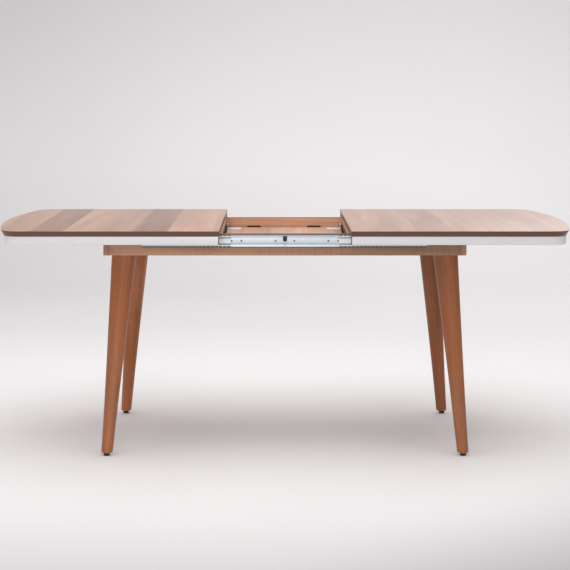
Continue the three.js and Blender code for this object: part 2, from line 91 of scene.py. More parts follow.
class TableShape(PropertyGroup):
    """Sizes of the fine detail that the frame doesn't fix."""

    end_bow: length("End bow", "How far the middle of an end stands proud of its corners", 55 * MM)
    corner_radius: length("Corner radius", "Radius of the top's corners in plan", 60 * MM)
    undercut: length("Undercut", "How far the top's edge leans inwards below its rim", 9 * MM)
    skirt_inset: length("Skirt inset", "From the top's rim to the skirt's outer face", 9.5 * MM)
    skirt_thickness: length("Skirt thickness", "Thickness of the skirt band", 12 * MM)
    edge_rounding: length("Edge rounding", "Radius of the top's upper edge", 1 * MM)
    plank_width: length("Plank width", "Width of one plank of the laminate", 110.7 * MM)
    left_joint: length("Joint, left", "From the left end to its first joint between planks", 138.4 * MM)
    right_joint: length("Joint, right", "From the middle to a joint in the right half", 427.9 * MM)
    leaf_joint: length("Joint, leaf", "From the leaf's left edge to its first joint", 47 * MM)
    ball_size: length("Ball size", "Diameter of the slides' balls", 3.4 * MM)
    ball_pitch: length("Ball pitch", "Distance between the slides' balls", 12 * MM)
    leg_taper: FloatProperty(
        name="Leg taper", description="1 is a straight taper, more is slimmer at half height", default=1.2
    )
    leg_top: length("Leg, top", "Diameter of a leg where it meets the base", 81.5 * MM)
    leg_foot: length("Leg, foot", "Diameter of a leg above its rounded foot", 37.5 * MM)
    foot_rounding: length("Foot rounding", "Radius of the round edge at a leg's foot", 6 * MM)
    outline_steps: IntProperty(
        name="Outline steps", description="Points on each arc of the top's plan", default=40
    )


class TableFinish(PropertyGroup):
    """Colours of the finishes."""

    plank_light: colour("Light plank", "Lightest planks of the laminate", srgb(187, 151, 132))
    plank_dark: colour("Dark plank", "Darkest planks of the laminate", srgb(146, 116, 102))
    leaf_light: colour("Light leaf plank", "Lightest planks of the leaf", srgb(203, 164, 142))
    leaf_dark: colour("Dark leaf plank", "Darkest planks of the leaf", srgb(182, 142, 120))
    top_edge: colour("Top edge", "Edge band of the top", srgb(108, 69, 54))
    skirt: colour("Skirt", "Paint of the skirt", srgb(232, 231, 232))
    rail: colour("Rail", "Laminate of the base rails", srgb(184, 138, 108))
    rail_inside: colour("Rail, inside", "Inner faces of the base rails", srgb(215, 160, 126))
    leg: colour("Leg", "Stain of the legs", srgb(158, 102, 71))
    plain_wood: colour("Plain wood", "Unstained wood under the table", srgb(196, 158, 118))
    zinc: colour("Zinc plate", "Steel of the slides and fittings", srgb(234, 240, 248))


class TableStudio(PropertyGroup):
    """Where the table is seen from."""

    eye_x: length("Eye, sideways", "The camera's place along the table", -31 * MM)
    eye_y: length("Eye, distance", "The camera's place in front of the table's middle", -4845.5 * MM)
    eye_z: length("Eye height", "The camera's height over the floor", 1216.2 * MM)
    pitch: FloatProperty(
        name="Pitch", description="How far the camera looks down", default=math.radians(3), subtype="ANGLE"
    )
    lens: FloatProperty(name="Lens", description="Focal length on a 36 mm sensor, in mm", default=88.4)
    rise: FloatProperty(
        name="Lens rise", description="Upward shift, in parts of the picture's width", default=-0.2223
    )
    sideways: FloatProperty(name="Lens shift", description="Sideways shift, likewise", default=0.0168)


# ------------------------------------------------------------------ surfaces


def add_piece(name, points, faces, finish, body, slot, *replaced):
    """Makes a mesh object at the origin, with its faces outward, that rides on a body.

    The mesh is turned inside out where the sum of its triangles' triple products, six times the volume
    that they enclose, is negative. Replaced names the CAD nodes that the piece stands in for.
    """
    mesh = bpy.data.meshes.new(name)
    mesh.from_pydata(points.reshape(-1, 3).tolist(), [], faces)
    mesh.calc_loop_triangles()
    corners = np.empty(len(mesh.loop_triangles) * 3, np.int32)
    mesh.loop_triangles.foreach_get("vertices", corners)
    a, b, c = np.moveaxis(points.reshape(-1, 3)[corners.reshape(-1, 3)], 1, 0)
    if np.einsum("ij,ij->", a, np.cross(b, c)) < 0:
        mesh.flip_normals()
    mesh.polygons.foreach_set("use_smooth", [True] * len(mesh.polygons))
    mesh.set_sharp_from_angle(angle=SHARP_ANGLE)
    mesh.materials.append(finish)
    mesh.update()
    piece = bpy.data.objects.new(name, mesh)
    bpy.context.scene.collection.objects.link(piece)
    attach(piece, body)
    if replaced:
        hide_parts(*replaced)
    return piece


def grid_faces(rows, columns, first=0):
    """Quads of a grid whose columns close up, with a flat face over each end row."""
    index = first + np.arange(rows * columns).reshape(rows, columns)
    here, after = index[:-1], index[1:]
    quads = np.stack([here, np.roll(here, -1, 1), np.roll(after, -1, 1), after], axis=-1)
    return quads.reshape(-1, 4).tolist() + [index[0][::-1].tolist(), index[-1].tolist()]


def grid_piece(name, points, *rest):
    """A piece that is one grid of points, rows by columns, with its ends closed."""
    rows, columns, _ = points.shape
    return add_piece(name, points, grid_faces(rows, columns), *rest)


def many_piece(name, grids, *rest):
    """A piece made of several closed grids of one size, stacked in one array."""
    count, rows, columns, _ = grids.shape
    faces = []
    for n in range(count):
        faces += grid_faces(rows, columns, n * rows * columns)
    return add_piece(name, grids, faces, *rest)


def round_corners(path, radius, steps=5, closed=False):
    """A path of 2-D points with each corner turned into an arc of that radius, or of the most that fits.

    At a corner of half angle h the arc starts radius / tan(h) before it; its points are worked out as
    the centre plus the radius times a direction that turns evenly from one side's normal to the other's.
    """
    path = np.asarray(path, float)
    count = len(path)
    radii = np.broadcast_to(radius, (count,))
    out = []
    for i in range(count):
        here = path[i]
        if not closed and i in (0, count - 1):
            out.append(here[None])
            continue
        before, after = path[i - 1] - here, path[(i + 1) % count] - here
        reach = min(np.linalg.norm(before), np.linalg.norm(after)) / 2
        before, after = before / np.linalg.norm(before), after / np.linalg.norm(after)
        half = math.acos(np.clip(before @ after, -1, 1)) / 2
        r = min(radii[i], 0.98 * reach * math.tan(half))
        if r < 1e-6 or half > math.radians(89):
            out.append(here[None])
            continue
        centre = here + (before + after) / np.linalg.norm(before + after) * r / math.sin(half)
        start, end = here + before * r / math.tan(half) - centre, here + after * r / math.tan(half) - centre
        sweep = math.atan2(start[0] * end[1] - start[1] * end[0], start @ end)
        turn = np.linspace(0, sweep, steps)
        cos, sin = np.cos(turn)[:, None], np.sin(turn)[:, None]
        out.append(centre + cos * start + sin * np.array([-start[1], start[0]]))
    return np.concatenate(out)


def sheet_section(path, thickness, bend):
    """Outline of bent sheet metal: its middle line with rounded bends, set off half a thickness each way."""
    line = round_corners(path, bend)
    along = np.gradient(line, axis=0)
    along /= np.linalg.norm(along, axis=1, keepdims=True)
    aside = np.stack([-along[:, 1], along[:, 0]], axis=1) * thickness / 2
    return np.concatenate([line + aside, (line - aside)[::-1]])


def carried(section, x_from, x_to, place):
    """A section of (u, v) points carried straight along X; place turns u and v into y and z."""
    y, z = place(section[:, 0], section[:, 1])
    stations = np.array([x_from, x_to])
    return np.stack(np.broadcast_arrays(stations[:, None], y, z), axis=-1)


def turned(radii, along, axis, centre, steps=32):
    """A round shape: the radius as a function of the distance along an axis, swept through a full turn."""
    angle = np.linspace(0, 2 * math.pi, steps, endpoint=False)
    radii, along = np.asarray(radii, float)[:, None], np.asarray(along, float)[:, None]
    ring = [radii * np.cos(angle), radii * np.sin(angle)]
    ring.insert(axis, along + 0 * angle)
    return np.stack(ring, axis=-1) + np.asarray(centre, float)


def rounded_box(low, high, radius, steps=4):
    """A block with round edges: a rounded oblong in plan, whose size shrinks in an arc at top and bottom."""
    (x0, y0, z0), (x1, y1, z1) = low, high
    turn = np.linspace(0, math.pi / 2, steps)
    sink = radius * (1 - np.sin(turn))
    rise = radius * (1 - np.cos(turn))
    levels = np.concatenate([z0 + rise, (z1 - rise)[::-1]])
    insets = np.concatenate([sink, sink[::-1]])
    plan = np.array([[x0, y0], [x1, y0], [x1, y1], [x0, y1]])
    inwards = np.sign(plan.mean(0) - plan)
    rows = []
    for z, inset in zip(levels, insets):
        corner = max(radius - inset, radius * 0.3)
        ring = round_corners(plan + inwards * inset, corner, steps, closed=True)
        rows.append(np.column_stack([ring, np.full(len(ring), z)]))
    return np.array(rows)


# ------------------------------------------------------------------ materials


class Recipe:
    """One procedural material. A socket given as a value is linked, and anything else is set."""

    def __init__(self, name, **shader):
        self.material = bpy.data.materials.new(name)
        self.material.use_nodes = True
        self.tree = self.material.node_tree
        self.shader = self.tree.nodes["Principled BSDF"]
        self.place = self.node("ShaderNodeTexCoord").outputs["Object"]
        self.feed(self.shader, shader)

    def feed(self, node, values):
        for key, value in values.items():
            socket = node.inputs[key.replace("_", " ") if isinstance(key, str) else key]
            if isinstance(value, bpy.types.NodeSocket):
                self.tree.links.new(value, socket)
            elif isinstance(value, (tuple, list)) and len(value) == 3 and socket.type == "RGBA":
                socket.default_value = (*value, 1)
            else:
                socket.default_value = value

    def node(self, kind, values=None, **settings):
        made = self.tree.nodes.new(kind)
        for key, value in settings.items():
            setattr(made, key, value)
        self.feed(made, values or {})
        return made

    def math(self, operation, *values, clamp=False):
        made = self.node("ShaderNodeMath", dict(enumerate(values)), operation=operation, use_clamp=clamp)
        return made.outputs[0]

    def parts(self, vector):
        return self.node("ShaderNodeSeparateXYZ", {"Vector": vector}).outputs

    def vector(self, x, y, z):
        return self.node("ShaderNodeCombineXYZ", {"X": x, "Y": y, "Z": z}).outputs[0]

    def scaled(self, vector, scale):
        return self.node("ShaderNodeMapping", {"Vector": vector, "Scale": scale}).outputs[0]

    def noise(self, vector, scale=1.0, detail=4.0, roughness=0.55, distortion=0.0):
        values = {"Vector": vector, "Scale": scale, "Detail": detail, "Roughness": roughness}
        values["Distortion"] = distortion
        return self.node("ShaderNodeTexNoise", values).outputs["Fac"]

    def ranged(self, value, low, high, to_low=0.0, to_high=1.0, smooth=False):
        kind = "SMOOTHSTEP" if smooth else "LINEAR"
        values = {"Value": value, "From_Min": low, "From_Max": high, "To_Min": to_low, "To_Max": to_high}
        return self.node("ShaderNodeMapRange", values, interpolation_type=kind).outputs[0]

    def blend(self, factor, first, second, how="MIX"):
        made = self.node("ShaderNodeMix", data_type="RGBA", blend_type=how)
        made.clamp_factor = True
        self.feed(made, {0: factor, 6: first, 7: second})
        return made.outputs[2]

    def shaded(self, tone, share):
        """A tone with all its channels multiplied by one share."""
        return self.blend(1.0, tone, self.vector(share, share, share), "MULTIPLY")

    def bump(self, height, strength, distance, under=None):
        values = {"Height": height, "Strength": strength, "Distance": distance}
        if under is not None:
            values["Normal"] = under
        return self.node("ShaderNodeBump", values).outputs[0]

    def done(self, **shader):
        self.feed(self.shader, shader)
        return self.material


def darker(tone, share):
    """A colour with a share of its light."""
    return tuple(channel * share for channel in tone)


def wood_grain(recipe, vector, lengthways, broad=1.0):
    """Figure, streaks and pores of wood whose grain runs along one axis, each from 0 to 1.

    Each is a noise on coordinates that are pressed together across the grain and drawn out along it.
    """

    def stretched(across, along):
        return recipe.scaled(vector, tuple(along if axis == lengthways else across for axis in range(3)))

    figure = recipe.noise(stretched(13 * broad, 0.9 * broad), detail=3, roughness=0.5, distortion=1.1)
    rings = recipe.noise(stretched(48 * broad, 1.6 * broad), detail=5, roughness=0.6, distortion=0.5)
    streaks = recipe.noise(stretched(260, 5), detail=4, roughness=0.65)
    pores = recipe.noise(stretched(620, 26), detail=2, roughness=0.5)
    return figure, rings, streaks, recipe.ranged(pores, 0.60, 0.72)


def wood_colour(recipe, base, grain, contrast=1.0):
    """A wood colour: the base, darkened in turn by the figure, the rings, the streaks and the pores."""
    figure, rings, streaks, pores = grain
    share = 1.0
    # layer, its lowest and highest value, and how much lighter it makes the wood at each
    for layer, low, high, at_low, at_high in (
        (figure, 0.35, 0.65, -0.16, 0.07),
        (rings, 0.3, 0.7, -0.16, 0.08),
        (streaks, 0.3, 0.7, -0.10, 0.05),
        (pores, 0, 1, 0, -0.22),
    ):
        lighter = recipe.ranged(layer, low, high, 1 + at_low * contrast, 1 + at_high * contrast)
        share = recipe.math("MULTIPLY", share, lighter)
    return recipe.shaded(base, share)


def polished(recipe, tone, grain, gloss, pore_bump, pore_depth):
    """Ends a polished wood's material: the rings change its gloss, the pores and streaks its relief."""
    rough = recipe.ranged(grain[1], 0.3, 0.7, gloss, gloss + 0.1)
    normal = recipe.bump(grain[3], pore_bump, pore_depth)
    normal = recipe.bump(grain[2], 0.12, 0.2 * MM, normal)
    return recipe.done(Base_Color=tone, Roughness=rough, Normal=normal)


def plank_material(name, light, deep, finish, shape, levels, first_joint, right_joint=None):
    """Plank laminate with its grain across the table, over a dark undercut edge.

    Planks are counted from the first joint: every third is dark and the one before it has a middle tone.
    What is left past the fifth keeps the fifth's tone. With a joint of their own, those right of the
    table's middle are counted from it, and are painted paler, greyer and more alike: a painted sheen of
    glare. Levels holds the board's lower and upper face.
    """
    recipe = Recipe(name)
    x, y, z = recipe.parts(recipe.place)
    joint = first_joint
    if right_joint is not None:
        joint = recipe.ranged(recipe.math("SIGN", x), -1, 1, first_joint, right_joint)
    plank = recipe.math("DIVIDE", recipe.math("SUBTRACT", x, joint), shape.plank_width)
    number = recipe.math("FLOOR", plank)
    within = recipe.math("SUBTRACT", plank, number)
    number = recipe.math("MINIMUM", number, 4)
    chance = recipe.node("ShaderNodeTexWhiteNoise", {"W": number}, noise_dimensions="1D").outputs["Value"]
    shifted_x = recipe.math("ADD", x, recipe.math("MULTIPLY", chance, 7))
    shifted = recipe.vector(shifted_x, recipe.math("ADD", y, chance), z)
    grain = wood_grain(recipe, shifted, 1)
    third = recipe.math("FLOORED_MODULO", number, 3)
    dark = recipe.math("LESS_THAN", third, 0.5)
    middle = recipe.math("GREATER_THAN", third, 1.5)
    toning = recipe.math("ADD", recipe.math("MULTIPLY", dark, 0.78), recipe.math("MULTIPLY", middle, 0.2))
    toning = recipe.math("ADD", toning, recipe.math("MULTIPLY", chance, 0.12), clamp=True)
    # painted sheen of glare: the planks right of the middle are made more alike
    if right_joint is not None:
        toning = recipe.math("MULTIPLY", toning, recipe.ranged(x, -0.1, 0.1, 1.0, 0.45))
    base = recipe.blend(toning, tuple(light), tuple(deep))
    # painted sheen of glare: the right half is blended towards a pale grey
    if right_joint is not None:
        base = recipe.blend(recipe.ranged(x, -0.1, 0.1, 0.0, 0.3), base, srgb(188, 168, 160))
    face = wood_colour(recipe, base, grain, 0.9)
    from_joint = recipe.math("MINIMUM", within, recipe.math("SUBTRACT", 1.0, within))
    face = recipe.shaded(face, recipe.ranged(from_joint, 0.0, 0.006, 0.82, 1.0))
    band = wood_grain(recipe, recipe.vector(x, y, recipe.math("MULTIPLY", z, 3)), 0)
    edge = wood_colour(recipe, tuple(finish.top_edge), band, 0.8)
    below = wood_colour(recipe, darker(finish.plank_light, 0.8), band, 0.6)
    low, high = levels
    tone = recipe.blend(recipe.math("GREATER_THAN", z, high - 0.4 * MM), edge, face)
    tone = recipe.blend(recipe.math("LESS_THAN", z, low + 0.05 * MM), tone, below)
    return polished(recipe, tone, grain, 0.32, 0.25, 0.1 * MM)


def slotted_tone(recipe, tone, inner_tone, faces, half_length, top_shade_level):
    """A side rail's tones, and 1 on its inner face, 0 elsewhere.

    Faces holds how far its inner and outer face lie from the table's middle. The slots' walls and floor,
    between the two and within half a length of the middle, are painted dark: painted shade in the slots.
    Above the given top level it has a painted shadow line. The outer face darkens towards the right.
    """
    inner_face, outer_face = faces
    x, y, z = recipe.parts(recipe.place)
    away = recipe.math("ABSOLUTE", y)
    facing = recipe.math("LESS_THAN", away, inner_face)
    behind = recipe.math("GREATER_THAN", away, inner_face)
    # painted shade in the slots: their walls and floor, near the middle, are painted dark
    slot_shade = recipe.math("MULTIPLY", behind, recipe.math("LESS_THAN", away, outer_face))
    central = recipe.math("LESS_THAN", recipe.math("ABSOLUTE", x), half_length)
    slot_shade = recipe.math("MULTIPLY", slot_shade, central)
    slot_shade = recipe.math("MULTIPLY", slot_shade, recipe.math("LESS_THAN", z, top_shade_level - 20 * MM))
    # painted shadow line along the board's top edge
    top = recipe.math("GREATER_THAN", z, top_shade_level)
    tone = recipe.shaded(tone, recipe.ranged(x, -0.55, 0.55, 1.1, 0.69))
    tone = recipe.blend(facing, tone, inner_tone)
    tone = recipe.blend(recipe.math("MULTIPLY", slot_shade, 0.93), tone, srgb(30, 18, 12))
    return recipe.blend(recipe.math("MULTIPLY", top, 0.75), tone, srgb(60, 46, 38)), facing


def board_material(
    name, base, lengthways, saw_marks=0.0, contrast=1.0, inner_tone=None, slots=None, well=None
):
    """Board with its grain along one axis; saw marks are fine lines that cross the grain.

    Slots are what slotted_tone takes after the inner tone. Well holds the distance from the middle
    within which the board's face is painted dark, painted shade in the well, and the height up to which it
    is.
    """
    recipe = Recipe(name)
    grain = wood_grain(recipe, recipe.place, lengthways)
    tone = wood_colour(recipe, tuple(base), grain, contrast)
    marked = 1.0
    if slots:
        inside = wood_colour(recipe, tuple(inner_tone), grain, contrast)
        tone, facing = slotted_tone(recipe, tone, inside, *slots)
        marked = recipe.math("SUBTRACT", 1.0, facing)
    if well:
        reach, level = well
        x, _, z = recipe.parts(recipe.place)
        inner = recipe.math("LESS_THAN", recipe.math("ABSOLUTE", x), reach)
        # painted shade in the well: the face is painted dark below the given level, near the middle
        deep = recipe.ranged(z, level - 5 * MM, level, 0.9, 0.0, smooth=True)
        tone = recipe.blend(recipe.math("MULTIPLY", inner, deep), tone, srgb(44, 29, 24))
    normal = recipe.bump(grain[3], 0.3, 0.12 * MM)
    if saw_marks:
        crossing = tuple(150 if axis == lengthways else 9 for axis in range(3))
        marks = recipe.noise(recipe.scaled(recipe.place, crossing), detail=3, roughness=0.6)
        patch = recipe.noise(recipe.scaled(recipe.place, (5, 5, 5)), detail=2)
        depth = recipe.math("MULTIPLY", recipe.ranged(marks, 0.42, 0.62), recipe.ranged(patch, 0.42, 0.58))
        depth = recipe.math("MULTIPLY", depth, marked)
        tone = recipe.shaded(tone, recipe.ranged(depth, 0, 1, 1, 1 - saw_marks))
        normal = recipe.bump(depth, 0.2, 0.1 * MM, normal)
    rough = recipe.ranged(grain[2], 0.3, 0.7, 0.45, 0.56)
    return recipe.done(Base_Color=tone, Roughness=rough, Normal=normal)


def leg_material(name, finish):
    """Stained wood whose grain follows the leg: it reads the leg's own straightened coordinates.

    The wood is darker towards the table's right end, and the back left leg is painted paler: painted light.
    """
    recipe = Recipe(name, Specular_IOR_Level=0.2)
    straight = recipe.node("ShaderNodeAttribute", attribute_name="grain").outputs["Vector"]
    grain = wood_grain(recipe, straight, 2, broad=1.1)
    tone = wood_colour(recipe, tuple(finish.leg), grain, 1.3)
    x, y, _ = recipe.parts(recipe.place)
    # painted light: the back left leg is made paler
    painted_light_back_left = recipe.math("MULTIPLY", recipe.ranged(x, -0.3, 0.3, 1, 0), recipe.ranged(y, -0.2, 0.2, 0, 1))
    lengthways = recipe.ranged(x, -0.55, 0.55, 1.06, 0.96)
    tone = recipe.shaded(tone, recipe.math("ADD", lengthways, recipe.math("MULTIPLY", painted_light_back_left, 0.42)))
    warm = recipe.noise(recipe.scaled(straight, (9, 9, 3)), detail=2)
    tone = recipe.blend(recipe.ranged(warm, 0.35, 0.65), tone, recipe.blend(0.5, tone, srgb(168, 96, 52)))
    return polished(recipe, tone, grain, 0.34, 0.3, 0.12 * MM)


def paint_material(name, finish, seam_end):
    """Satin paint on the skirt: faint orange peel, slight wear of its gloss, and a dark seam at its ends."""
    recipe = Recipe(name)
    peel = recipe.noise(recipe.place, scale=420, detail=2)
    cloud = recipe.noise(recipe.place, scale=7, detail=4)
    base = recipe.blend(cloud, tuple(finish.skirt), darker(finish.skirt, 0.93))
    from_middle = recipe.math("ABSOLUTE", recipe.parts(recipe.place)[0])
    base = recipe.blend(recipe.math("LESS_THAN", from_middle, seam_end), base, srgb(66, 62, 62))
    rough = recipe.ranged(cloud, 0.3, 0.7, 0.26, 0.38)
    return recipe.done(Base_Color=base, Roughness=rough, Normal=recipe.bump(peel, 0.12, 0.1 * MM))


def steel_material(name, tone, drawn, roughness=0.3, shine=1.0, bright=None):
    """Bright zinc plate: fine drawing lines along one axis, soft clouds and small spangles.

    Bright gives the lowest and highest level of the plate's even tone; past them it is painted dark: painted
    shade along its edges.
    """
    recipe = Recipe(name, Metallic=shine)
    stretch = tuple(4 if axis == drawn else 900 for axis in range(3))
    lines = recipe.noise(recipe.scaled(recipe.place, stretch), detail=3)
    cloud = recipe.noise(recipe.place, scale=28, detail=4)
    spangle = recipe.node("ShaderNodeTexVoronoi", {"Vector": recipe.place, "Scale": 260.0}).outputs["Color"]
    speck = recipe.node("ShaderNodeSeparateColor", {"Color": spangle}).outputs[0]
    base = recipe.blend(recipe.math("MULTIPLY", cloud, 0.6), tuple(tone), darker(tone, 0.82))
    base = recipe.blend(recipe.math("MULTIPLY", speck, 0.12), base, srgb(190, 200, 214))
    if bright:
        height = recipe.parts(recipe.place)[2]
        below = recipe.math("LESS_THAN", height, bright[0])
        above = recipe.math("GREATER_THAN", height, bright[1])
        # painted shade along the plate's upper and lower edges
        shaded_edges = recipe.math("ADD", below, above, clamp=True)
        base = recipe.blend(recipe.math("MULTIPLY", shaded_edges, 0.9), base, srgb(40, 37, 39))
    rough = recipe.ranged(lines, 0.3, 0.7, roughness - 0.06, roughness + 0.08)
    return recipe.done(Base_Color=base, Roughness=rough, Normal=recipe.bump(lines, 0.05, 0.03 * MM))


def plastic_material(name, tone, roughness):
    """Moulded plastic: spark-eroded grain, and a little dust in its gloss."""
    recipe = Recipe(name)
    eroded = recipe.noise(recipe.place, scale=1400, detail=2)
    dust = recipe.noise(recipe.place, scale=60, detail=4)
    dusty = tuple(min(1, channel * 1.6 + 0.004) for channel in tone)
    base = recipe.blend(recipe.ranged(dust, 0.45, 0.75), tone, dusty)
    rough = recipe.ranged(dust, 0.3, 0.7, roughness - 0.08, roughness + 0.12)
    return recipe.done(Base_Color=base, Roughness=rough, Normal=recipe.bump(eroded, 0.2, 0.05 * MM))


def stage_material(name):
    """Seamless pale paper with painted shade: darker at the front, above all on the right, high up and far
    back on the floor.
    """
    recipe = Recipe(name, Roughness=0.9)
    x, y, z = recipe.parts(recipe.place)
    cloud = recipe.noise(recipe.place, scale=0.6, detail=2)
    tone = recipe.blend(cloud, srgb(238, 236, 236), srgb(232, 230, 231))
    # painted shade: the paper darkens towards the front, the right front corner, high up, and far back on the
    # floor
    front = recipe.ranged(y, -2.2, -0.3, 0.55, 1.0, smooth=True)
    high = recipe.ranged(z, 0.6, 2.4, 1.0, 0.84, smooth=True)
    corner = recipe.ranged(recipe.math("SUBTRACT", x, y), 1.2, 2.6, 1.0, 0.62, smooth=True)
    far = recipe.math("MULTIPLY", recipe.ranged(y, 0.6, 2.2, 0, 0.09), recipe.ranged(z, 0, 0.6, 1, 0))
    share = recipe.math("MULTIPLY", recipe.math("MULTIPLY", front, high), corner)
    share = recipe.math("MULTIPLY", share, recipe.math("SUBTRACT", 1.0, far))
    return recipe.done(Base_Color=recipe.shaded(tone, share))


def material(name, make, *values, **options):
    """A finished material, made the first time it is asked for. The CAD's own materials have plain names."""
    full_name = "finish_" + name
    return bpy.data.materials.get(full_name) or make(full_name, *values, **options)


def coat(nodes, made):
    """Gives CAD nodes their finished material."""
    for name in nodes:
        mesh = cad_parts[name].data
        mesh.materials.clear()
        mesh.materials.append(made)


# ------------------------------------------------------------------ shared shapes


def half_outline(shape, inset, inner):
    """Plan of the right half's free rim, inset from it, from the inner edge round to the inner edge.

    It is two straight sides, two corner arcs and one shallow arc across the end. A circle with the end's
    bow over the table's depth has the radius (half depth squared plus bow squared) over twice the bow.
    """
    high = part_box("right_top_panel")[1]
    half_depth = high.y
    end_radius = (half_depth**2 + shape.end_bow**2) / (2 * shape.end_bow)
    centre = high.x - end_radius
    corner_y = half_depth - shape.corner_radius
    corner_x = centre + math.sqrt((end_radius - shape.corner_radius) ** 2 - corner_y**2)
    meet = math.atan2(corner_y, corner_x - centre)

    def arc(x, y, radius, start, stop):
        turn = np.linspace(start, stop, shape.outline_steps)
        return np.stack([x + radius * np.cos(turn), y + radius * np.sin(turn)], axis=1)

    small = shape.corner_radius - inset
    straight = np.linspace(inner, corner_x, 12)[:-1]
    side = np.stack([straight, np.full_like(straight, half_depth - inset)], axis=1)
    return np.concatenate([
        side * (1, -1),
        arc(corner_x, -corner_y, small, -math.pi / 2, -meet),
        arc(centre, 0, end_radius - inset, -meet, meet)[1:-1],
        arc(corner_x, corner_y, small, meet, math.pi / 2),
        side[::-1],
    ])


def turned_to(end_sign, points):
    """The right half's points, or the same turned half a turn for the left half."""
    return points * (end_sign, end_sign, 1)


def slide_place(sy):
    """Where a slide's section goes: u is out from the side rail's face, v is up from the slide's middle."""
    low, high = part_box("front_left_slide_outer")
    face = abs(high.y)
    middle = (low.z + high.z) / 2
    return lambda u, v: (sy * (face + u), middle + v)


def mirrored(half):
    """A section's path, given down to its middle, with its mirror image below."""
    half = np.asarray(half, float) * MM
    return np.concatenate([half, half[::-1] * (1, -1)])


# half sections of the slide's members: mm out from the side rail's face, mm above the slide's middle
OUTER_PATH = mirrored([(8.6, 20.3), (0.5, 20.3), (0.5, 9.6), (1.7, 8.2)])
MIDDLE_PATH = mirrored([(9.9, 12.6), (2.9, 12.6), (2.9, 8.8), (4.4, 7.4)])
CAGE_PATH = mirrored([(6.2, 17.4), (6.2, 13.8), (1.9, 13.8)])
INNER_PATH = mirrored([(4.9, 9.45), (12.15, 9.45)])
# a slide's screws, from the table's middle, a corner block's, from its outer corner, and a bracket's,
# from its inner edge; in mm
SLIDE_SCREWS = (31, 142, 174, 302, 430)
BLOCK_SCREWS = ((80, 14), (14, 80), (80, 40))
BRACKET_SCREWS = (10, 31)


def pale_steel():
    """The bright even plate of the middle members and the ball cages."""
    return material("pale_steel", steel_material, srgb(246, 249, 253), 0, 0.35, 0.0)


def screw(x, y, z, sy, diameter, proud):
    """A pan-head screw that faces sy along Y: a domed disc with a sunk cross recess."""
    steps = 24
    angle = np.linspace(0, 2 * math.pi, steps, endpoint=False)
    share = np.array([1.0, 1.0, 0.94, 0.80, 0.55, 0.42, 0.30])
    height = np.array([-0.6, 0.25, 0.62, 0.88, 1.0, 0.98, 0.25]) * proud
    radius = diameter / 2 * share[:, None] * np.ones(steps)
    radius[-2:] *= 0.62 + 0.38 * np.cos(2 * angle) ** 2
    facing = y + sy * height[:, None] + 0 * radius
    return np.stack([x + radius * np.cos(angle), facing, z + radius * np.sin(angle)], axis=-1)


def screw_up(x, y, z, diameter, proud):
    """The same screw, facing along Z: up where proud is positive, down where it is negative."""
    return screw(x, z, y, 1, diameter, proud)[..., [0, 2, 1]]


# ------------------------------------------------------------------ operators


class PieceOperator(Operator):
    """Shared by the operators of this add-on."""

    bl_options = {"REGISTER", "UNDO"}

    def execute(self, context):
        self.make(context.scene.table_shape, context.scene.table_finish)
        return {"FINISHED"}


class TABLE_OT_top_halves(PieceOperator):
    """Make the two top panels, with rounded rims and undercut edges"""

    bl_idname = "table.top_halves"
    bl_label = "Top halves"

    def make(self, shape, finish):
        """Plans of the rim, each with its own inset: up from the underside, then round to the top face."""
        low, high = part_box("right_top_panel")
        turn = np.linspace(0, math.pi / 2, 5)
        land = high.z - 2 * MM
        r = shape.edge_rounding
        arc = r * (1 - np.cos(turn))
        insets = [shape.undercut + 0.4 * MM, shape.undercut - 0.2 * MM, 0.25 * MM, 0, *arc]
        heights = [low.z, low.z + 0.4 * MM, land - 0.3 * MM, land + 0.3 * MM]
        heights += [*(high.z - r * (1 - np.sin(turn)))]
        easing = [0.2 * MM, 0, 0, 0, *0.4 * arc]
        rows = []
        for inset, z, ease in zip(insets, heights, easing):
            plan = half_outline(shape, inset, low.x + ease)
            rows.append(np.column_stack([plan, np.full(len(plan), z)]))
        laminate = material(
            "plank_laminate",
            plank_material,
            finish.plank_light,
            finish.plank_dark,
            finish,
            shape,
            (low.z, high.z),
            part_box("left_top_panel")[0].x + shape.left_joint,
            shape.right_joint,
        )
        for end, sx in ENDS:
            points = turned_to(sx, np.array(rows))
            names = f"{end}_half", "top_laminate", f"{end}_top_panel"
            grid_piece(f"{end}_top_board", points, laminate, *names)


class TABLE_OT_skirts(PieceOperator):
    """Make the pale bands that follow the rim under each half"""

    bl_idname = "table.skirts"
    bl_label = "Skirts"

    def make(self, shape, finish):
        """A round-cornered section carried along the rim: each of its points follows its own inset."""
        low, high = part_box("right_skirt")
        near, far = shape.skirt_inset, shape.skirt_inset + shape.skirt_thickness
        corners = [(near, low.z), (far, low.z), (far, high.z), (near, high.z)]
        rounding = np.array([2.5, 1.5, 0.6, 0.6]) * MM
        section = round_corners(corners, rounding, closed=True)
        plans = np.array([half_outline(shape, inset, low.x) for inset in section[:, 0]])
        heights = np.broadcast_to(section[:, 1][:, None], plans.shape[:2])
        points = np.concatenate([plans, heights[..., None]], axis=-1).transpose(1, 0, 2)
        seam = 2.4 * MM
        paint = material("skirt_paint", paint_material, finish, low.x + seam)
        for end, sx in ENDS:
            names = f"{end}_half", "skirt_paint", f"{end}_skirt"
            grid_piece(f"{end}_skirt_band", turned_to(sx, points), paint, *names)


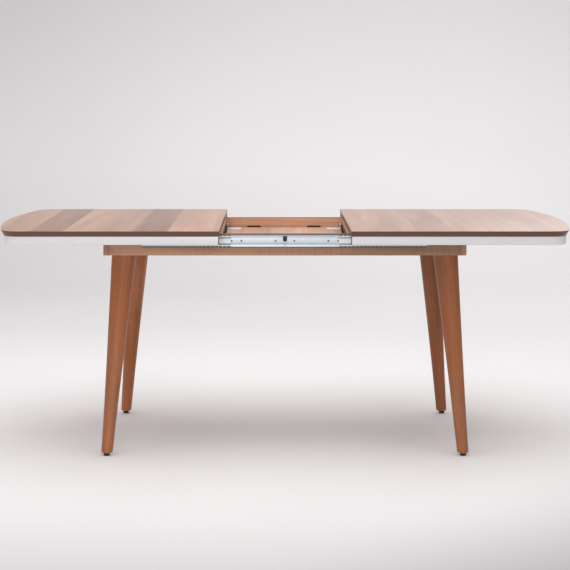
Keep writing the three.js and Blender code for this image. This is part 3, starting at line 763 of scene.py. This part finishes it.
class TABLE_OT_base_rails(PieceOperator):
    """Finish the boards of the base frame"""

    bl_idname = "table.base_rails"
    bl_label = "Base rails"

    def make(self, shape, finish):
        low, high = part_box("back_side_rail")
        skin = 0.6 * MM
        # the slots' painted shade reaches 140 mm each way from the middle; the painted shadow line starts 1.4
        # mm below the top
        slots = ((low.y + skin, high.y - skin), 140 * MM, high.z - 1.4 * MM)
        side = material(
            "rail_wood",
            board_material,
            finish.rail,
            0,
            saw_marks=0.15,
            contrast=1.25,
            inner_tone=finish.rail_inside,
            slots=slots,
        )
        coat([f"{name}_side_rail" for name, _ in SIDES], side)
        end = material("end_rail_wood", board_material, darker(finish.rail, 0.86), 1, saw_marks=0.12)
        coat([f"{name}_end_rail" for name, _ in ENDS], end)
        # painted shade in the well, on the cross rails' inner faces up to 14 mm below the side rails' top
        well = (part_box("right_cross_rail")[0].x + 1 * MM, high.z - 14 * MM)
        cross = material("cross_rail_wood", board_material, darker(finish.rail_inside, 0.9), 1, well=well)
        coat([f"{name}_cross_rail" for name, _ in ENDS], cross)


class TABLE_OT_hidden_frame(PieceOperator):
    """Finish the battens, slats, corner blocks and leg studs under the top, and drive their screws"""

    bl_idname = "table.hidden_frame"
    bl_label = "Battens and blocks"

    def make(self, shape, finish):
        along = material("batten_wood", board_material, finish.plain_wood, 0, contrast=0.8)
        across = material("end_batten_wood", board_material, finish.plain_wood, 1, contrast=0.8)
        coat([f"{name}_slide_batten" for name, _, _ in CORNERS], along)
        coat([f"{name}_leaf_slat" for name, _ in SIDES], along)
        coat([f"{name}_corner_block" for name, _, _ in CORNERS], along)
        coat([f"{name}_end_batten" for name, _ in ENDS], across)
        steel = material("stud_steel", steel_material, finish.zinc, 2, 0.35)
        coat([f"{name}_leg_bolt" for name, _, _ in CORNERS], steel)
        steel = material("screw_steel", steel_material, srgb(196, 184, 150), 1, 0.32)
        self.base_screws(steel)
        self.batten_screws(steel)

    def from_below(self, x, y, z):
        return screw_up(x, y, z, 8 * MM, -2 * MM)

    def base_screws(self, steel):
        """Two at each end of a slat, from below, and three down into each corner block."""
        heads = []
        for name, _ in SIDES:
            low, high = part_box(f"{name}_leaf_slat")
            reach = high.x - 9 * MM
            for x in (-reach, reach):
                for y in (low.y + 15 * MM, high.y - 15 * MM):
                    heads.append(self.from_below(x, y, low.z))
        for name, sx, sy in CORNERS:
            low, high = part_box(f"{name}_corner_block")
            outer_x = high.x if sx > 0 else low.x
            outer_y = high.y if sy > 0 else low.y
            for dx, dy in BLOCK_SCREWS:
                x, y = outer_x - sx * dx * MM, outer_y - sy * dy * MM
                heads.append(screw_up(x, y, high.z, 8 * MM, 2 * MM))
        many_piece("frame_screws", np.array(heads), steel, "base", "fitting_steel")

    def batten_screws(self, steel):
        """Four from below through each batten, evenly spaced between its end screws."""
        for end, _ in ENDS:
            heads = []
            low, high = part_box(f"{end}_end_batten")
            for y in np.linspace(low.y + 40 * MM, high.y - 40 * MM, 4):
                heads.append(self.from_below((low.x + high.x) / 2, y, low.z))
            for side, _ in SIDES:
                low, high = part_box(f"{side}_{end}_slide_batten")
                for x in np.linspace(low.x + 30 * MM, high.x - 30 * MM, 4):
                    heads.append(self.from_below(x, (low.y + high.y) / 2, low.z))
            many_piece(f"{end}_batten_screws", np.array(heads), steel, f"{end}_half", "fitting_steel")


class TABLE_OT_legs(PieceOperator):
    """Turn the four splayed legs and the glides under them"""

    bl_idname = "table.legs"
    bl_label = "Legs and glides"

    def make(self, shape, finish):
        wood = material("leg_wood", leg_material, finish)
        rubber = material("glide_plastic", plastic_material, srgb(22, 22, 23), 0.5)
        for name, sx, sy in CORNERS:
            self.leg(name, sx, sy, shape, wood)
            low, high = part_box(f"{name}_foot_glide")
            centre = ((low.x + high.x) / 2, (low.y + high.y) / 2, 0)
            r, top = (high.x - low.x) / 2, high.z
            radii = [r - 2.4 * MM, r - 1.6 * MM, r - 0.5 * MM, r, r, r - 0.6 * MM]
            heights = [0, 0.05 * MM, 0.8 * MM, 2.4 * MM, top - 0.6 * MM, top]
            points = turned(radii, heights, 2, centre, 40)
            grid_piece(f"{name}_glide", points, rubber, "base", "glide_plastic", f"{name}_foot_glide")

    def leg(self, name, sx, sy, shape, wood):
        """Level circles whose radius is a power taper of the height, and whose centres lean outwards."""
        low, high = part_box(f"{name}_leg")
        glide_low, glide_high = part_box(f"{name}_foot_glide")
        foot = np.array([glide_low.x + glide_high.x, glide_low.y + glide_high.y]) / 2
        inner = np.array([low.x if sx > 0 else high.x, low.y if sy > 0 else high.y])
        top_radius, foot_radius, rounding = shape.leg_top / 2, shape.leg_foot / 2, shape.foot_rounding
        top = inner + np.array([sx, sy]) * top_radius
        turn = np.linspace(0, math.pi / 2, 7)
        rounded = low.z + rounding * (1 - np.cos(turn))
        heights = np.concatenate([rounded, np.linspace(low.z + rounding, high.z, 34)[1:]])
        share = (heights - low.z) / (high.z - low.z)
        radii = foot_radius + (top_radius - foot_radius) * share**shape.leg_taper
        radii[: len(turn)] -= rounding * (1 - np.sin(turn))
        centres = foot + (top - foot) * (heights / high.z)[:, None]
        straight = turned(radii, heights, 2, (0, 0, 0), 72)
        points = straight.copy()
        points[..., :2] += centres[:, None]
        leg = grid_piece(f"{name}_turned_leg", points, wood, "base", "leg_wood", f"{name}_leg")
        grain = leg.data.attributes.new("grain", "FLOAT_VECTOR", "POINT")
        offset = np.array([0.31 * sx, 0.57 * sy, 0.2 * (sx + 2 * sy)])
        grain.data.foreach_set("vector", (straight + offset).ravel())


class TABLE_OT_slides(PieceOperator):
    """Make the telescopic slides: the rolled channels and the screws that hold them"""

    bl_idname = "table.slides"
    bl_label = "Slides"

    def make(self, shape, finish):
        low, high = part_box("front_left_slide_outer")
        # outside this band the outer channels' flanges get painted shade
        bright = (low.z + 1.9 * MM, high.z - 1.6 * MM)
        outer = material("outer_steel", steel_material, darker(finish.zinc, 0.86), 0, 0.3, 0.25, bright)
        inner = material("slide_steel", steel_material, finish.zinc, 0, 0.3, 0.3)
        dark = material("slide_screw", steel_material, srgb(70, 70, 74), 1, 0.35)
        for name, sx, sy in CORNERS:
            half = name.split("_")[1] + "_half"
            place = slide_place(sy)
            for kind, path, metal, body in (
                ("outer", OUTER_PATH, outer, "base"),
                ("middle", MIDDLE_PATH, pale_steel(), f"{name}_middle"),
                ("inner", INNER_PATH, inner, half),
            ):
                low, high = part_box(f"{name}_slide_{kind}")
                section = sheet_section(path, 1.0 * MM, 1.9 * MM)
                points = carried(section, low.x, high.x, place)
                node = f"{name}_slide_{kind}"
                grid_piece(f"{name}_{kind}_channel", points, metal, body, "slide_steel", node)
            face, middle = place(2.2 * MM, 0)
            heads = [screw(sx * x * MM, face, middle, sy, 5.6 * MM, 1.1 * MM) for x in SLIDE_SCREWS]
            many_piece(f"{name}_slide_screws", np.array(heads), dark, "base", "slide_steel")


class TABLE_OT_ball_cages(PieceOperator):
    """Make the ball cages: a steel strip with dark rims above and below that hold a row of balls each, the
    rims' dark plastic also painted shade round the balls
    """

    bl_idname = "table.ball_cages"
    bl_label = "Ball cages"

    def make(self, shape, finish):
        """The cages, then the end of the second rows of balls, which run in the middle members."""
        plastic = material("cage_plastic", plastic_material, srgb(26, 26, 28), 0.4)
        chrome = material("ball_steel", steel_material, srgb(232, 234, 238), 0, 0.2, 0.2)
        size, pitch = shape.ball_size, shape.ball_pitch
        for name, sx, sy in CORNERS:
            place = slide_place(sy)
            cage, middle = f"{name}_cage", f"{name}_middle"
            low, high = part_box(f"{name}_ball_cage")
            strip = carried(sheet_section(CAGE_PATH, 0.8 * MM, 0.6 * MM), low.x, high.x, place)
            node = f"{name}_ball_cage"
            grid_piece(f"{name}_cage_strip", strip, pale_steel(), cage, "slide_plastic", node)
            balls = self.balls(low.x, high.x, place, size, pitch, 7.2 * MM, 18.4 * MM)
            many_piece(f"{name}_balls", balls, chrome, cage, "slide_steel")
            # the rims hold the balls, and their dark plastic is also painted shade in the gap round the balls
            rims = self.rims(low.x, high.x, place, 7.0 * MM, 18.35 * MM, 1.4 * MM)
            many_piece(f"{name}_cage_rims", rims, plastic, cage, "slide_plastic")
            low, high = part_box(f"{name}_slide_middle")
            shown = 150 * MM
            start, stop = (low.x, low.x + shown) if sx > 0 else (high.x - shown, high.x)
            balls = self.balls(start, stop, place, 0.6 * size, pitch, 7.2 * MM, 11.05 * MM)
            many_piece(f"{name}_inner_balls", balls, chrome, middle, "slide_steel")
            # the inner rims hold the balls, and their dark plastic is also painted shade in the middle
            # member's ball groove
            rims = self.rims(start, stop, place, 6.6 * MM, 11.05 * MM, 1.0 * MM)
            many_piece(f"{name}_inner_rims", rims, plastic, middle, "slide_plastic")

    def rims(self, x_low, x_high, place, out, off, half):
        """Two strips, 2 mm thick, at one distance above and below the slide's middle."""
        strips = []
        for v in (-off, off):
            deep = out - 2 * MM
            block = np.array([(deep, v - half), (out, v - half), (out, v + half), (deep, v + half)])
            strips.append(carried(round_corners(block, 0.5 * MM, 3, closed=True), x_low, x_high, place))
        return np.array(strips)

    def balls(self, x_low, x_high, place, size, pitch, out, off):
        """Spheres in two rows: each is a circle whose radius is the sine of its latitude."""
        latitude = np.linspace(0.2, math.pi - 0.2, 6)
        ball = turned(size / 2 * np.sin(latitude), -size / 2 * np.cos(latitude), 2, (0, 0, 0), 8)
        count = int((x_high - x_low - 2 * pitch) / pitch)
        stations = np.linspace(x_low + pitch, x_high - pitch, count)
        centres = []
        for v in (-off, off):
            y, z = place(out, v)
            centres += [(x, y, z) for x in stations]
        return ball + np.array(centres)[:, None, None, :]


class TABLE_OT_slide_stops(PieceOperator):
    """Make the moulded buffers between the slides, and the pale strips behind them"""

    bl_idname = "table.slide_stops"
    bl_label = "Slide buffers"

    def make(self, shape, finish):
        plastic = material("stop_plastic", plastic_material, srgb(11, 12, 14), 0.5)
        nylon = material("seam_nylon", plastic_material, srgb(186, 188, 190), 0.5)
        for name, sy in SIDES:
            low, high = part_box(f"{name}_slide_stop")
            near, far = sorted((abs(low.y), abs(high.y)))
            y0, y1 = sorted((sy * (near + 1.4 * MM), sy * far))
            points = rounded_box((low.x, y0, low.z), (high.x, y1, high.z), 1.5 * MM)
            grid_piece(f"{name}_buffer", points, plastic, "base", "slide_plastic", f"{name}_slide_stop")
            face, middle = slide_place(sy)(0, 0)
            y0, y1 = sorted((face + sy * 0.2 * MM, face + sy * 1.3 * MM))
            half_width, half_height = 1.8 * MM, 20 * MM
            lowest = (-half_width, y0, middle - half_height)
            seam = rounded_box(lowest, (half_width, y1, middle + half_height), 0.4 * MM)
            grid_piece(f"{name}_seam_strip", seam, nylon, "base", "slide_plastic")


class TABLE_OT_leaf(PieceOperator):
    """Finish the folded leaf, and make its angle brackets and pivot pins"""

    bl_idname = "table.leaf"
    bl_label = "Folded leaf"

    def make(self, shape, finish):
        low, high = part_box("leaf_upper_panel")
        laminate = material(
            "leaf_laminate",
            plank_material,
            finish.leaf_light,
            finish.leaf_dark,
            finish,
            shape,
            (low.z, high.z),
            low.x + shape.leaf_joint,
        )
        coat(["leaf_upper_panel", "leaf_lower_panel"], laminate)
        steel = material("fitting_steel", steel_material, srgb(243, 245, 248), 1, 0.3, 0.1)
        black = material("pin_steel", steel_material, srgb(48, 46, 46), 0, 0.4)
        coat([f"{end}_leaf_hinge" for end, _ in ENDS], steel)
        for end, sx in ENDS:
            self.bracket(end, sx, steel)
            self.pin(end, sx, black)

    def bracket(self, end, sx, steel):
        """A bent plate, level towards the leaf and upright at its outer edge, held by two screws."""
        low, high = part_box(f"{end}_pivot_bracket")
        edge, inner = (high.x, low.x) if sx > 0 else (low.x, high.x)
        thick = 2.5 * MM
        upright, level = edge - sx * thick / 2, low.z + thick / 2
        section = sheet_section([(inner, level), (upright, level), (upright, high.z)], thick, 3 * MM)
        points = carried(section, low.y, high.y, lambda u, v: (u, v))[..., [1, 0, 2]]
        node = f"{end}_pivot_bracket"
        grid_piece(f"{end}_bracket", points, steel, "base", "fitting_steel", node)
        middle = (low.y + high.y) / 2
        places = [inner + sx * x * MM for x in BRACKET_SCREWS]
        heads = [screw_up(x, middle, low.z + thick, 7.5 * MM, 1.6 * MM) for x in places]
        many_piece(f"{end}_bracket_screws", np.array(heads), steel, "base", "fitting_steel")

    def pin(self, end, sx, steel):
        """A round head, then the shank, turned about a line along X."""
        low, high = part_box(f"{end}_pivot_pin")
        start = low.x if sx > 0 else high.x
        centre = (0, (low.y + high.y) / 2, (low.z + high.z) / 2)
        end_of_shank = (high.x - low.x) / MM
        radii = np.array([5.2, 6.1, 6.5, 6.5, 6.2, 4, 4, 3.5]) * MM
        steps = np.array([0, 0.2, 0.8, 2.6, 3, 3.05, end_of_shank - 0.6, end_of_shank]) * MM
        points = turned(radii, start + sx * steps, 0, centre)
        grid_piece(f"{end}_pin", points, steel, "base", "fitting_steel", f"{end}_pivot_pin")


# name, place, target, width, height, watts
LIGHTS = (
    ("overhead_softbox", (-0.2, -0.2, 3.6), (-0.2, -0.1, 0), 6.4, 4.4, 154),
    ("key_softbox", (-0.5, -6.0, 1.8), (0, 0, 0.5), 1.6, 2.4, 92),
    ("glare_softbox", (2.0, 4.2, 2.4), (0.9, 0.1, 0.75), 1.4, 0.8, 9),
    ("backdrop_light", (1.6, 2.6, 3.2), (2.0, 5.2, 1.6), 5.0, 1.0, 40),
)


class TABLE_OT_stage(Operator):
    """Set up the floor and backdrop, the soft lights and the camera"""

    bl_idname = "table.stage"
    bl_label = "Studio"

    def execute(self, context):
        self.backdrop(context.scene)
        self.lights(context.scene)
        self.camera(context.scene, context.scene.table_studio)
        return {"FINISHED"}

    def backdrop(self, scene):
        """A sheet that lies on the floor, curves up in a quarter circle behind the table and stands."""
        front, back, half_width, height = -9.0, 3.4, 9.0, 7.0
        radius = 2.2
        turn = np.linspace(0, math.pi / 2, 24)
        y = np.concatenate([[front, back], back + radius * np.sin(turn[1:]), [back + radius]])
        z = np.concatenate([[0, 0], radius * (1 - np.cos(turn[1:])), [height]])
        x = np.array([-half_width, half_width])
        points = np.stack(np.broadcast_arrays(x, y[:, None], z[:, None]), axis=-1)
        index = np.arange(len(y) * 2).reshape(-1, 2)
        faces = np.stack([index[:-1, 0], index[:-1, 1], index[1:, 1], index[1:, 0]], axis=-1)
        mesh = bpy.data.meshes.new("backdrop")
        mesh.from_pydata(points.reshape(-1, 3).tolist(), [], faces.tolist())
        mesh.polygons.foreach_set("use_smooth", [True] * len(mesh.polygons))
        mesh.materials.append(material("studio_paper", stage_material))
        sheet = bpy.data.objects.new("backdrop", mesh)
        scene.collection.objects.link(sheet)

    def lights(self, scene):
        world = bpy.data.worlds.new("studio_air")
        world.use_nodes = True
        air = world.node_tree.nodes["Background"]
        air.inputs["Color"].default_value = (1.0, 0.972, 0.976, 1)
        air.inputs["Strength"].default_value = 0.48
        scene.world = world
        for name, place, target, width, height, watts in LIGHTS:
            data = bpy.data.lights.new(name, "AREA")
            data.shape = "RECTANGLE"
            data.size, data.size_y, data.energy = width, height, watts
            lamp = bpy.data.objects.new(name, data)
            lamp.location = place
            aim = np.array(target, float) - np.array(place, float)
            lamp.rotation_euler = Vector(aim).to_track_quat("-Z", "Y").to_euler()
            scene.collection.objects.link(lamp)

    def camera(self, scene, studio):
        data = bpy.data.cameras.new("camera")
        data.sensor_width = 36
        data.lens = studio.lens
        data.shift_x, data.shift_y = studio.sideways, studio.rise
        camera = bpy.data.objects.new("camera", data)
        camera.location = (studio.eye_x, studio.eye_y, studio.eye_z)
        camera.rotation_euler = (math.pi / 2 - studio.pitch, 0, 0)
        scene.collection.objects.link(camera)
        scene.camera = camera
        scene.view_settings.view_transform = "Standard"


class TABLE_PT_pieces(Panel):
    """Lists the table's pieces and settings in the sidebar"""

    bl_label = "Extendable Dining Table"
    bl_space_type = "VIEW_3D"
    bl_region_type = "UI"
    bl_category = "Table"

    def draw(self, context):
        for maker in MAKERS:
            self.layout.operator(maker.bl_idname)
        for group in (context.scene.table_shape, context.scene.table_finish, context.scene.table_studio):
            box = self.layout.box()
            for key in group.__annotations__:
                box.prop(group, key)


MAKERS = (
    TABLE_OT_stage,
    TABLE_OT_top_halves,
    TABLE_OT_skirts,
    TABLE_OT_base_rails,
    TABLE_OT_hidden_frame,
    TABLE_OT_legs,
    TABLE_OT_slides,
    TABLE_OT_ball_cages,
    TABLE_OT_slide_stops,
    TABLE_OT_leaf,
)
GROUPS = {"table_shape": TableShape, "table_finish": TableFinish, "table_studio": TableStudio}


def register():
    for group in GROUPS.values():
        bpy.utils.register_class(group)
    for maker in (*MAKERS, TABLE_PT_pieces):
        bpy.utils.register_class(maker)
    for name, group in GROUPS.items():
        setattr(bpy.types.Scene, name, PointerProperty(type=group))


def unregister():
    for name in GROUPS:
        delattr(bpy.types.Scene, name)
    for maker in (TABLE_PT_pieces, *reversed(MAKERS)):
        bpy.utils.unregister_class(maker)
    for group in reversed(GROUPS.values()):
        bpy.utils.unregister_class(group)


def main():
    """Makes every piece in order."""
    register()
    for maker in MAKERS:
        group, name = maker.bl_idname.split(".")
        getattr(getattr(bpy.ops, group), name)()


if __name__ == "__main__":
    main()
